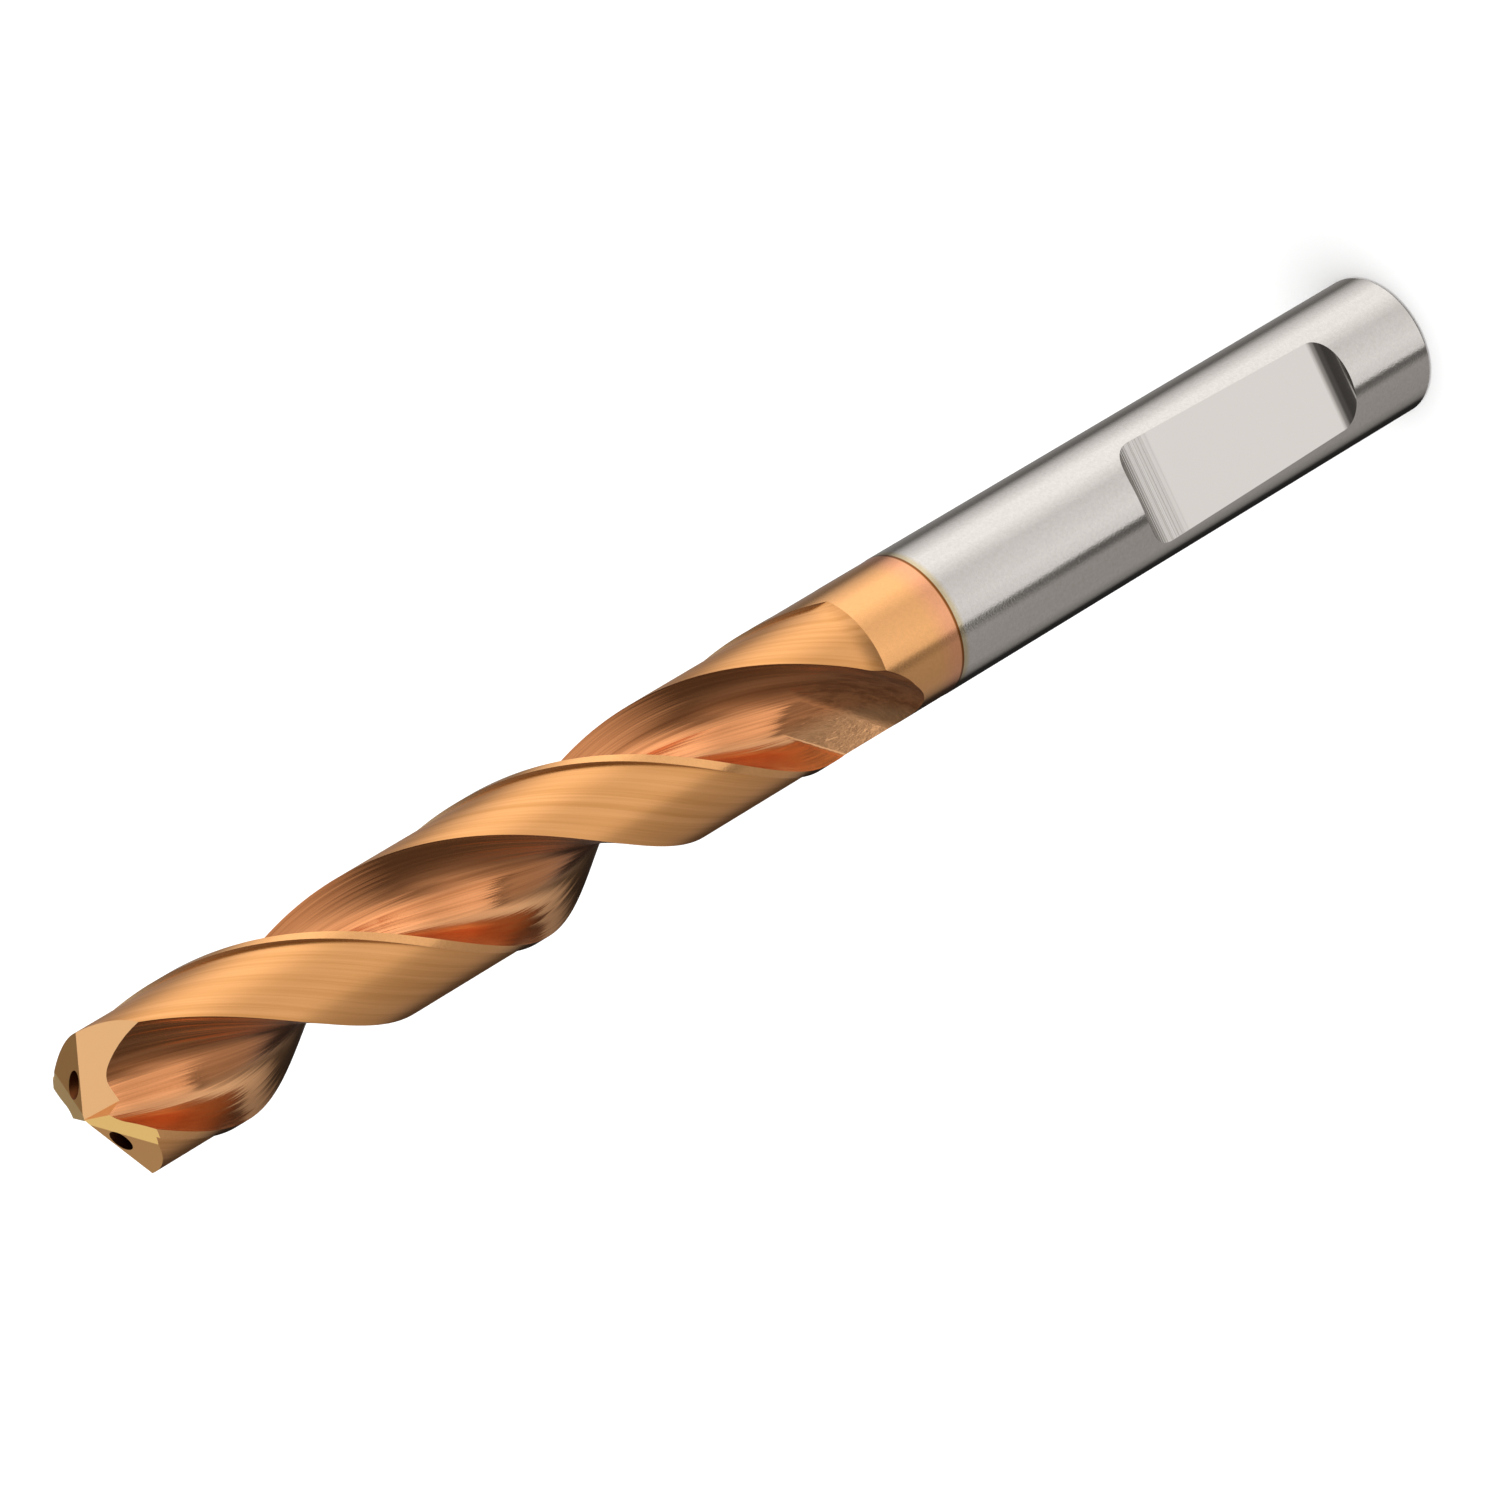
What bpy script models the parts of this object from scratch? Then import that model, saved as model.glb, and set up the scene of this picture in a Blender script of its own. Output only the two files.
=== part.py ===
"""Solid carbide twist drill, ground from one rod: a plain shank with an inclined clamping flat,
two helical flutes, body clearance behind narrow margins, and a faceted, gashed 140 degree point
that two helical coolant channels open onto.

The drill stands on its shank end. Z is its axis, the origin is the middle of the shank's end face,
and the clamping flat faces -Y. Seen from the point, the drill cuts turning anticlockwise.
"""

import math

import bmesh
import bpy
from mathutils import Matrix, Vector

# Lengths along the axis, in metres
TOTAL_LENGTH = 0.0911
SHANK_LENGTH = 0.036
NECK_LENGTH = 0.0005
CLEARANCE_END = 0.0413
RUNOUT_HEIGHT = 0.0454

# Sizes across the axis
SHANK_DIAMETER = 0.008
DRILL_DIAMETER = 0.00796
SHANK_CHAMFER = 0.0002
CORE_DIAMETER = 0.00264
MARGIN_WIDTH = 0.0005
CLEARANCE_DEPTH = 0.00019
CLEARANCE_OVERRUN_DEG = 5.7

# Flutes
FLUTE_LEAD = 0.0391
FLUTE_OPENING_DEG = 99.6
CUTTING_WALL_LEAN_DEG = 1.2
HEEL_WALL_LEAN_DEG = 9.7
CUTTING_WALL_FILLET = 0.0013
HEEL_WALL_FILLET = 0.0020
WHEEL_DIAMETER = 0.0987
WHEEL_SETTING_DEG = 38.3
WHEEL_SHOULDER = 0.004
WHEEL_SHOULDER_DEG = 78.0
WHEEL_CORNER = 0.00025
WALL_OVERRUN = 0.00008

# Point
LIP_DIRECTION_DEG = 60.7
LIP_AHEAD_OF_CENTRE = 0.00053
POINT_ANGLE_DEG = 143.4
PRIMARY_RELIEF_DEG = 8.0
SECONDARY_POINT_ANGLE_DEG = 145.3
SECONDARY_RELIEF_DEG = 20.8
SECONDARY_BEHIND_CENTRE = 0.00019
GASH_RISE_DEG = 27.7
GASH_RELIEF_DEG = 42.7
THINNED_LIP_DEG = 22.0
THINNING_RAKE_DEG = 14.0
GASH_BELOW_CENTRE = 0.00002
CHISEL_EDGE = 0.00006

# Coolant channels
CHANNEL_DIAMETER = 0.00115
CHANNEL_PITCH_DIAMETER = 0.0036
CHANNEL_BEHIND_EDGE_DEG = 43.4

# Clamping flat on the shank
FLAT_START = 0.0070
FLAT_END = 0.0203
FLAT_DEPTH = 0.00118
FLAT_SLOPE_DEG = 1.14
FLAT_REAR_RADIUS = 0.0012
FLAT_FRONT_RADIUS = 0.0020

# Facets of the round surfaces
AROUND = 60
HELIX_STEP_DEG = 9.0
FILLET_STEPS = 5
WALL_STEPS = 4
CLEARANCE_STEPS = 6
RUNOUT_STEPS = 12
CHANNEL_STEP_DEG = 15.0
CHANNEL_BEVEL = 4

SPARE = 0.002
DRILL_RADIUS = DRILL_DIAMETER / 2
CORE_RADIUS = CORE_DIAMETER / 2
TWIST = 2 * math.pi / FLUTE_LEAD
HALF_OPENING = math.radians(FLUTE_OPENING_DEG) / 2
BLANK_TOP = TOTAL_LENGTH + SPARE


def collection(name):
    made = bpy.data.collections.new(name)
    bpy.context.scene.collection.children.link(made)
    return made


def mesh_object(name, mesh, home):
    made = bpy.data.objects.new(name, mesh)
    home.objects.link(made)
    return made


def metal(name, colour, roughness):
    made = bpy.data.materials.new(name)
    made.use_nodes = True
    shader = made.node_tree.nodes["Principled BSDF"]
    shader.inputs["Base Color"].default_value = colour
    shader.inputs["Metallic"].default_value = 1.0
    shader.inputs["Roughness"].default_value = roughness
    return made


def ground_blank(home):
    """The carbide rod ground to the shank's and the drill's diameter, its profile turned about Z."""
    shank_radius = SHANK_DIAMETER / 2
    profile = [
        (0, BLANK_TOP),
        (DRILL_RADIUS, BLANK_TOP),
        (DRILL_RADIUS, SHANK_LENGTH + NECK_LENGTH),
        (shank_radius, SHANK_LENGTH),
        (shank_radius, SHANK_CHAMFER),
        (shank_radius - SHANK_CHAMFER, 0),
        (0, 0),
    ]
    mesh = bpy.data.meshes.new("drill")
    corners = [(radius, 0, height) for radius, height in profile]
    mesh.from_pydata(corners, [(i, i + 1) for i in range(len(corners) - 1)], [])
    blank = mesh_object("drill", mesh, home)
    turn = blank.modifiers.new("turned", "SCREW")
    turn.axis = "Z"
    turn.steps = turn.render_steps = AROUND
    turn.use_merge_vertices = True
    turn.merge_threshold = 1e-6
    return blank


def lofted(name, rows, home, tip=None):
    """A closed solid through rows of points, each row a closed loop with as many points.

    Its sides are triangles, so that a twisted one stays exact where it is cut. The last row is
    closed flat, or to a tip where it doesn't lie in one plane.
    """
    shape = bmesh.new()
    grid = [[shape.verts.new(point) for point in row] for row in rows]
    count = len(grid[0])
    for row, following in zip(grid, grid[1:]):
        for i in range(count):
            j = (i + 1) % count
            shape.faces.new((row[i], row[j], following[j], following[i]))
    bmesh.ops.triangulate(shape, faces=shape.faces[:])
    shape.faces.new(grid[0][::-1])
    if tip is None:
        shape.faces.new(grid[-1])
    else:
        apex = shape.verts.new(tip)
        for i in range(count):
            shape.faces.new((grid[-1][i], grid[-1][(i + 1) % count], apex))
    bmesh.ops.recalc_face_normals(shape, faces=shape.faces)
    mesh = bpy.data.meshes.new(name)
    shape.to_mesh(mesh)
    shape.free()
    return mesh_object(name, mesh, home)


def polar(radius, angle, height=0.0):
    return Vector((radius * math.cos(angle), radius * math.sin(angle), height))


def along_helix(point, rise):
    """A point moved up by rise on its own helix of the flutes' lead."""
    return Matrix.Rotation(TWIST * rise, 3, "Z") @ point + Vector((0, 0, rise))


def fillet(corner, one_way, other_way, radius):
    """Points of the round that joins two straight walls meeting at corner."""
    half = one_way.angle(other_way) / 2
    middle = (one_way + other_way).normalized()
    centre = corner + middle * radius / math.sin(half)
    start = corner + one_way * radius / math.tan(half) - centre
    end = corner + other_way * radius / math.tan(half) - centre
    sweep = start.angle(end)
    arc = []
    for i in range(FILLET_STEPS + 1):
        reached = sweep * i / FILLET_STEPS
        spoke = start * math.sin(sweep - reached) + end * math.sin(reached)
        arc.append(centre + spoke / math.sin(sweep))
    return arc


def flute_sides():
    """The flute's outline across the axis, as a cutting side and a heel side, each from the floor out.

    X points out through the middle of the flute, and Y to the heel that follows it. A flat floor
    touches the core, and on each side a round leads into a straight wall, which passes a little
    way out through the drill's surface. Beyond it the wheel is only a shoulder.
    """
    floor_out = Vector((0, 1, 0))
    walls = []
    for side, lean in ((-1, CUTTING_WALL_LEAN_DEG), (1, HEEL_WALL_LEAN_DEG)):
        edge = polar(DRILL_RADIUS, side * HALF_OPENING)
        out = polar(1, side * (HALF_OPENING + math.radians(lean)))
        foot = edge + out * (CORE_RADIUS - edge.x) / out.x
        radius = CUTTING_WALL_FILLET if side < 0 else HEEL_WALL_FILLET
        line = fillet(foot, floor_out * -side, out, radius)
        top = edge + out * WALL_OVERRUN
        line += [line[-1].lerp(top, i / WALL_STEPS) for i in range(1, WALL_STEPS + 1)]
        walls.append(line)
    return walls


def wheel_contact(point, across, wheel_centre, wheel_axis, near):
    """How far up its helix a point of the outline touches the grinding wheel at the flute's end.

    There the groove's normal meets the wheel's axis. The rise nearest to the one given is found
    by halving.
    """

    def miss(rise):
        spot = along_helix(point, rise)
        sideways = Matrix.Rotation(TWIST * rise, 3, "Z") @ across
        forward = Vector((-TWIST * spot.y, TWIST * spot.x, 1))
        return wheel_axis.cross(sideways.cross(forward)).dot(spot - wheel_centre)

    rises = [FLUTE_LEAD * i / 160 for i in range(-40, 41)]
    spans = [span for span in zip(rises, rises[1:]) if miss(span[0]) * miss(span[1]) <= 0]
    if not spans:
        return near
    low, high = min(spans, key=lambda span: abs((span[0] + span[1]) / 2 - near))
    for _ in range(24):
        middle = (low + high) / 2
        if miss(low) * miss(middle) <= 0:
            high = middle
        else:
            low = middle
    return (low + high) / 2


def side_contacts(line, side, wheel_centre, wheel_axis):
    """The contact rises of one side of the flute, followed from the floor out.

    The wheel only widens away from its rim. Where a contact would fold back on it, as in a tight
    round, the point leaves the wheel a little further along instead.
    """

    def width(point, rise):
        return side * wheel_axis.dot(along_helix(point, rise) - wheel_centre)

    found = []
    near = 0.0
    widest = -WHEEL_DIAMETER
    for i, point in enumerate(line):
        if i == 0:
            across = Vector((0, 1, 0))
        else:
            across = line[min(i + 1, len(line) - 1)] - line[i - 1]
        near = wheel_contact(point, across, wheel_centre, wheel_axis, near)
        rise = near
        least = widest + WHEEL_CORNER / FILLET_STEPS
        for _ in range(8):
            rise += max(0.0, least - width(point, rise)) * -side / abs(wheel_axis.z)
        widest = width(point, rise)
        found.append(rise)
    return found


def flute_cutter(name, turned, home):
    """The groove that a profiled wheel leaves, from above the point down to where it is drawn out.

    Each point of the outline follows its helix down to the line on which the wheel last touches
    the groove. From there it follows the wheel's own circle, out through the drill's surface.
    """
    setting = math.radians(WHEEL_SETTING_DEG)
    wheel_radius = WHEEL_DIAMETER / 2
    wheel_centre = Vector((CORE_RADIUS + wheel_radius, 0, 0))
    wheel_axis = Vector((0, math.cos(setting), -math.sin(setting)))
    cutting, heel = flute_sides()
    cutting_rises = side_contacts(cutting, -1, wheel_centre, wheel_axis)
    heel_rises = side_contacts(heel, 1, wheel_centre, wheel_axis)

    cutting.append(cutting[-1] + (cutting[-1] - cutting[-2]).normalized() * DRILL_RADIUS / 3)
    shoulder = polar(WHEEL_SHOULDER, math.radians(WHEEL_SHOULDER_DEG))
    heel_edge = heel[-1]
    heel += [heel_edge + shoulder * share for share in (0.3, 0.6, 1.0)]
    far = heel[-1].x + DRILL_RADIUS
    heel.append(Vector((far, heel[-1].y, 0)))
    cutting.append(Vector((far, cutting[-1].y, 0)))
    cutting_rises += [cutting_rises[-1]] * 2
    heel_rises += [heel_rises[-1]] * 4
    outline = cutting[::-1] + heel
    contacts = cutting_rises[::-1] + heel_rises

    length = BLANK_TOP + SPARE - RUNOUT_HEIGHT
    steps = math.ceil(math.degrees(TWIST * length) / HELIX_STEP_DEG)
    rows = []
    for step in range(steps + 1):
        share = step / steps
        rises = [length + share * (contact - length) for contact in contacts]
        rows.append([along_helix(point, rise) for point, rise in zip(outline, rises)])
    clear = DRILL_RADIUS * 1.25 - CORE_RADIUS
    swing = math.acos(1 - clear / wheel_radius)
    for step in range(1, RUNOUT_STEPS + 1):
        turn = Matrix.Rotation(-swing * step / RUNOUT_STEPS, 3, wheel_axis)
        rows.append([wheel_centre + turn @ (spot - wheel_centre) for spot in rows[steps]])

    start = flute_middle(RUNOUT_HEIGHT) + turned
    place = Matrix.Translation((0, 0, RUNOUT_HEIGHT)) @ Matrix.Rotation(start, 4, "Z")
    rows = [[place @ spot for spot in row] for row in rows]
    tip = sum(rows[-1], Vector()) / len(outline) + (rows[-1][0] - rows[-2][0])
    return lofted(name, rows, home, tip)


def lip_slope():
    return 1 / math.tan(math.radians(POINT_ANGLE_DEG / 2))


def corner_height():
    """The height of a cutting corner, where the lip meets the drill's full diameter."""
    reach = math.sqrt(DRILL_RADIUS**2 - LIP_AHEAD_OF_CENTRE**2)
    rise = LIP_AHEAD_OF_CENTRE * math.tan(math.radians(PRIMARY_RELIEF_DEG))
    return TOTAL_LENGTH - reach * lip_slope() + rise


def corner_angle(height):
    """Where the first lobe's cutting edge crosses a height."""
    at_point = math.radians(LIP_DIRECTION_DEG) + math.asin(LIP_AHEAD_OF_CENTRE / DRILL_RADIUS)
    return at_point + TWIST * (height - corner_height())


def flute_middle(height):
    return corner_angle(height) + HALF_OPENING


def clearance_cutter(name, turned, home):
    """The thin layer ground off the land between the margin and the heel."""
    inner = DRILL_RADIUS - CLEARANCE_DEPTH
    outer = DRILL_RADIUS * 1.3
    margin = MARGIN_WIDTH / DRILL_RADIUS
    span = math.pi - 2 * HALF_OPENING - margin + math.radians(CLEARANCE_OVERRUN_DEG)
    outer_steps = 4
    arc = [polar(inner, -margin - span * i / CLEARANCE_STEPS) for i in range(CLEARANCE_STEPS + 1)]
    arc.append(polar(DRILL_RADIUS + WALL_OVERRUN, -margin - span))
    arc += [polar(outer, -margin - span * (1 - i / outer_steps)) for i in range(outer_steps + 1)]
    arc.append(polar(DRILL_RADIUS + WALL_OVERRUN, -margin))
    length = BLANK_TOP + SPARE - CLEARANCE_END
    steps = math.ceil(math.degrees(TWIST * length) / HELIX_STEP_DEG)
    start = corner_angle(CLEARANCE_END) + turned
    place = Matrix.Translation((0, 0, CLEARANCE_END)) @ Matrix.Rotation(start, 4, "Z")
    rows = [
        [place @ along_helix(point, length * step / steps) for point in arc]
        for step in range(steps + 1)
    ]
    return lofted(name, rows, home)


def ground_away(name, planes, home):
    """A block that fills the space above every one of the planes, each a point and a normal."""
    shape = bmesh.new()
    bmesh.ops.create_cube(shape, size=DRILL_DIAMETER * 2)
    bmesh.ops.translate(shape, verts=shape.verts, vec=(0, 0, TOTAL_LENGTH))
    for point, normal in planes:
        everything = shape.verts[:] + shape.edges[:] + shape.faces[:]
        cut = bmesh.ops.bisect_plane(
            shape, geom=everything, plane_co=point, plane_no=normal, clear_inner=True
        )
        rim = [item for item in cut["geom_cut"] if isinstance(item, bmesh.types.BMEdge)]
        bmesh.ops.contextual_create(shape, geom=rim)
    bmesh.ops.recalc_face_normals(shape, faces=shape.faces)
    mesh = bpy.data.meshes.new(name)
    shape.to_mesh(mesh)
    shape.free()
    return mesh_object(name, mesh, home)


def facet(lip, fall_along, fall_behind, height):
    """A plane by its fall along the lip's direction, its fall behind the lip, and its height on the axis."""
    along = polar(1, lip)
    behind = polar(1, lip - math.pi / 2)
    normal = along * fall_along + behind * fall_behind + Vector((0, 0, 1))
    return Vector((0, 0, height)), normal.normalized()


def point_cutters(number, turned, home):
    """What the point grinding removes for one lip: its two relief facets and the gash behind it."""
    lip = math.radians(LIP_DIRECTION_DEG) + turned
    primary_relief = math.tan(math.radians(PRIMARY_RELIEF_DEG))
    secondary_relief = math.tan(math.radians(SECONDARY_RELIEF_DEG))
    secondary_slope = 1 / math.tan(math.radians(SECONDARY_POINT_ANGLE_DEG / 2))
    secondary_top = TOTAL_LENGTH + SECONDARY_BEHIND_CENTRE * (secondary_relief - primary_relief)
    primary = facet(lip, lip_slope(), primary_relief, TOTAL_LENGTH)
    secondary = facet(lip, secondary_slope, secondary_relief, secondary_top)
    gash = facet(
        lip,
        -math.tan(math.radians(GASH_RISE_DEG)),
        math.tan(math.radians(GASH_RELIEF_DEG)),
        TOTAL_LENGTH - GASH_BELOW_CENTRE,
    )
    other_lip = lip + math.pi
    thinned = other_lip + math.radians(THINNED_LIP_DEG)
    rake = math.radians(THINNING_RAKE_DEG)
    facing = polar(math.cos(rake), thinned + math.pi / 2, math.sin(rake))
    thinning = polar(CHISEL_EDGE / 2, thinned + math.pi / 2, TOTAL_LENGTH), facing
    return [
        ground_away(f"primary_relief_{number}", [primary], home),
        ground_away(f"secondary_relief_{number}", [secondary], home),
        ground_away(f"gash_{number}", [gash, thinning], home),
    ]


def meshed(curve, home):
    """A curve object made a closed mesh object in its place."""
    graph = bpy.context.evaluated_depsgraph_get()
    mesh = bpy.data.meshes.new_from_object(curve.evaluated_get(graph))
    shape = bmesh.new()
    shape.from_mesh(mesh)
    bmesh.ops.remove_doubles(shape, verts=shape.verts, dist=1e-7)
    bmesh.ops.recalc_face_normals(shape, faces=shape.faces)
    shape.to_mesh(mesh)
    shape.free()
    name = curve.name
    made = mesh_object(name + "_solid", mesh, home)
    made.matrix_world = curve.matrix_world
    bpy.data.objects.remove(curve)
    made.name = name
    return made


def channel_cutter(name, turned, home):
    """A coolant channel: a round hole on the flutes' lead, along the inside of a land."""
    low, high = -SPARE, TOTAL_LENGTH
    behind = math.radians(CHANNEL_BEHIND_EDGE_DEG)
    steps = math.ceil(math.degrees(TWIST * (high - low)) / CHANNEL_STEP_DEG)
    curve = bpy.data.curves.new(name, "CURVE")
    curve.dimensions = "3D"
    curve.bevel_depth = CHANNEL_DIAMETER / 2
    curve.bevel_resolution = CHANNEL_BEVEL
    curve.use_fill_caps = True
    spline = curve.splines.new("POLY")
    spline.points.add(steps)
    for step, knot in enumerate(spline.points):
        height = low + (high - low) * step / steps
        angle = corner_angle(height) - behind + turned
        knot.co = (*polar(CHANNEL_PITCH_DIAMETER / 2, angle, height), 1)
    return meshed(mesh_object(name, curve, home), home)


def flat_cutter(home):
    """The inclined clamping flat on the -Y side, deepest towards the point, round at both ends."""
    slope = math.tan(math.radians(FLAT_SLOPE_DEG))
    shank_radius = SHANK_DIAMETER / 2
    front = shank_radius - FLAT_DEPTH
    rear = front + slope * (FLAT_END - FLAT_START)
    quarter = 6
    outline = []
    for i in range(quarter + 1):
        bend = math.pi / 2 * (1 - i / quarter)
        outline.append(
            (
                FLAT_START - FLAT_REAR_RADIUS * math.sin(bend),
                rear + FLAT_REAR_RADIUS * (1 - math.cos(bend)),
            )
        )
    for i in range(quarter + 1):
        bend = math.pi / 2 * i / quarter
        outline.append(
            (
                FLAT_END + FLAT_FRONT_RADIUS * math.sin(bend),
                front + FLAT_FRONT_RADIUS * (1 - math.cos(bend)),
            )
        )
    outer = shank_radius + SPARE
    outline += [(outline[-1][0], outer), (outline[0][0], outer)]
    rows = [
        [Vector((side * shank_radius * 1.2, -depth, height)) for height, depth in outline]
        for side in (-1, 1)
    ]
    return lofted("clamping_flat", rows, home)


def cut(body, cutter):
    cutter.hide_render = True
    cutter.display_type = "WIRE"
    step = body.modifiers.new(cutter.name, "BOOLEAN")
    step.operation = "DIFFERENCE"
    step.solver = "EXACT"
    step.object = cutter


def build():
    for old in list(bpy.data.objects):
        bpy.data.objects.remove(old)
    product = collection("solid_carbide_drill")
    waste = collection("ground_away")

    drill = ground_blank(product)
    for number, turned in ((1, 0.0), (2, math.pi)):
        for cutter in point_cutters(number, turned, waste):
            cut(drill, cutter)
    for number, turned in ((1, 0.0), (2, math.pi)):
        cut(drill, clearance_cutter(f"body_clearance_{number}", turned, waste))
    for number, turned in ((1, 0.0), (2, math.pi)):
        cut(drill, flute_cutter(f"flute_{number}", turned, waste))
    for number, turned in ((1, 0.0), (2, math.pi)):
        cut(drill, channel_cutter(f"coolant_channel_{number}", turned, waste))
    cut(drill, flat_cutter(waste))

    drill.data.materials.append(metal("copper coloured coating on carbide", (0.72, 0.38, 0.17, 1), 0.3))
    drill.data.shade_smooth()


build()
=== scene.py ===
"""The looks of a solid carbide twist drill that stands on its shank end in a plain white studio."""

import math

import bpy
from mathutils import Matrix, Vector


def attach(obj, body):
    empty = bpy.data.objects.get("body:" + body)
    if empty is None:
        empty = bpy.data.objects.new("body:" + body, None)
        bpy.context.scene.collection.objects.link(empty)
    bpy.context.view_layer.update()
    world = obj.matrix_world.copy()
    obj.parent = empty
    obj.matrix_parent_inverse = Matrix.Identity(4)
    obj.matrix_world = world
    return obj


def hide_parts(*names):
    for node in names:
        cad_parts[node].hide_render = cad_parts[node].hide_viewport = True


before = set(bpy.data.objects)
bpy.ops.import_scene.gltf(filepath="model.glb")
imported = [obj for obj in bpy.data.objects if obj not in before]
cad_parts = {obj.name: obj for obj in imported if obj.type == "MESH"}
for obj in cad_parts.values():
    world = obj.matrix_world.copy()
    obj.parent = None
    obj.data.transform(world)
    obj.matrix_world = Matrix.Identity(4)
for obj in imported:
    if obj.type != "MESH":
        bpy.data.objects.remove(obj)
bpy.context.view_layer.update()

# The rod that the drill is ground from: fine-grained cemented carbide, sintered and then ground
# round. The shank keeps the full diameter, and from a short neck on the body is a little thinner.
# A chamfer breaks the shank's edge. STOCK is how far the rod and the wheels reach past the part.
TOTAL_LENGTH = 0.0911
SHANK_LENGTH = 0.036
NECK_LENGTH = 0.0005
SHANK_RADIUS = 0.004
DRILL_RADIUS = 0.00398
SHANK_CHAMFER = 0.0002
STOCK = 0.002
ROD_SIDES = 288


def pick(piece):
    bpy.ops.object.select_all(action="DESELECT")
    piece.select_set(True)
    bpy.context.view_layer.objects.active = piece


def start_rod():
    bpy.ops.object.select_all(action="DESELECT")
    end_radius = SHANK_RADIUS - SHANK_CHAMFER
    bpy.ops.mesh.primitive_circle_add(vertices=ROD_SIDES, radius=end_radius, fill_type="NGON")
    made = bpy.context.object
    made.name = made.data.name = "ground_drill"
    bpy.ops.object.mode_set(mode="EDIT")
    bpy.ops.mesh.select_mode(type="FACE")
    bpy.ops.mesh.select_all(action="SELECT")
    lifts = [
        (SHANK_CHAMFER, SHANK_RADIUS),
        (SHANK_LENGTH - SHANK_CHAMFER, SHANK_RADIUS),
        (NECK_LENGTH, DRILL_RADIUS),
        (TOTAL_LENGTH + STOCK - SHANK_LENGTH - NECK_LENGTH, DRILL_RADIUS),
    ]
    radius = end_radius
    for lift, next_radius in lifts:
        bpy.ops.mesh.extrude_region_move(TRANSFORM_OT_translate={"value": (0, 0, lift)})
        growth = next_radius / radius
        bpy.ops.transform.resize(value=(growth, growth, 1), center_override=(0, 0, 0))
        radius = next_radius
    bpy.ops.mesh.select_all(action="SELECT")
    bpy.ops.mesh.normals_make_consistent(inside=False)
    bpy.ops.object.mode_set(mode="OBJECT")
    return made


drill = start_rod()

# The point: each lip has a narrow primary relief and a steeper secondary one behind it, and a
# gash that thins the chisel edge. A flat wheel grinds each of them as a plane, so the space above
# the plane goes away. The facets meet in sharp edges across the end of the drill.
LIP_DIRECTION_DEG = 60.7
LIP_AHEAD_OF_CENTRE = 0.00053
POINT_ANGLE_DEG = 143.4
PRIMARY_RELIEF_DEG = 8.0
SECONDARY_POINT_ANGLE_DEG = 145.3
SECONDARY_RELIEF_DEG = 20.8
SECONDARY_BEHIND_CENTRE = 0.00019
GASH_RISE_DEG = 27.7
GASH_RELIEF_DEG = 42.7
THINNED_LIP_DEG = 22.0
THINNING_RAKE_DEG = 14.0
GASH_BELOW_CENTRE = 0.00002
CHISEL_EDGE = 0.00006
WHEEL_BLOCK = DRILL_RADIUS * 4
BOTH_LIPS = (0.0, math.pi)


def polar(radius, angle, height=0.0):
    return Vector((radius * math.cos(angle), radius * math.sin(angle), height))


def facet(lip, fall_along, fall_behind, height):
    """A ground plane by its fall along the lip, its fall behind it and its height at the axis."""
    normal = polar(1, lip) * fall_along + polar(1, lip - math.pi / 2) * fall_behind
    return Vector((0, 0, height)), (normal + Vector((0, 0, 1))).normalized()


def space_above(name, planes):
    bpy.ops.object.select_all(action="DESELECT")
    bpy.ops.mesh.primitive_cube_add(size=WHEEL_BLOCK, location=(0, 0, TOTAL_LENGTH))
    made = bpy.context.object
    made.name = name
    bpy.ops.object.transform_apply(location=True)
    bpy.ops.object.mode_set(mode="EDIT")
    for point, normal in planes:
        bpy.ops.mesh.select_all(action="SELECT")
        bpy.ops.mesh.bisect(plane_co=point, plane_no=normal, use_fill=True, clear_inner=True)
    bpy.ops.mesh.select_all(action="SELECT")
    bpy.ops.mesh.normals_make_consistent(inside=False)
    bpy.ops.object.mode_set(mode="OBJECT")
    return made


lip_slope = 1 / math.tan(math.radians(POINT_ANGLE_DEG / 2))
primary_slope = math.tan(math.radians(PRIMARY_RELIEF_DEG))
secondary_slope = math.tan(math.radians(SECONDARY_RELIEF_DEG))
secondary_lip_slope = 1 / math.tan(math.radians(SECONDARY_POINT_ANGLE_DEG / 2))
secondary_top = TOTAL_LENGTH + SECONDARY_BEHIND_CENTRE * (secondary_slope - primary_slope)
gash_rise = -math.tan(math.radians(GASH_RISE_DEG))
gash_relief = math.tan(math.radians(GASH_RELIEF_DEG))
rake = math.radians(THINNING_RAKE_DEG)

wheels = []
for turned in BOTH_LIPS:
    lip = math.radians(LIP_DIRECTION_DEG) + turned
    primary = facet(lip, lip_slope, primary_slope, TOTAL_LENGTH)
    secondary = facet(lip, secondary_lip_slope, secondary_slope, secondary_top)
    gash = facet(lip, gash_rise, gash_relief, TOTAL_LENGTH - GASH_BELOW_CENTRE)
    thinned = lip + math.pi + math.radians(THINNED_LIP_DEG)
    facing = polar(math.cos(rake), thinned + math.pi / 2, math.sin(rake))
    thinning = (polar(CHISEL_EDGE / 2, thinned + math.pi / 2, TOTAL_LENGTH), facing)
    wheels.append((space_above("primary_wheel", [primary]), "primary relief"))
    wheels.append((space_above("secondary_wheel", [secondary]), "secondary relief"))
    wheels.append((space_above("gashing_wheel", [gash, thinning]), "gash"))

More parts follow.
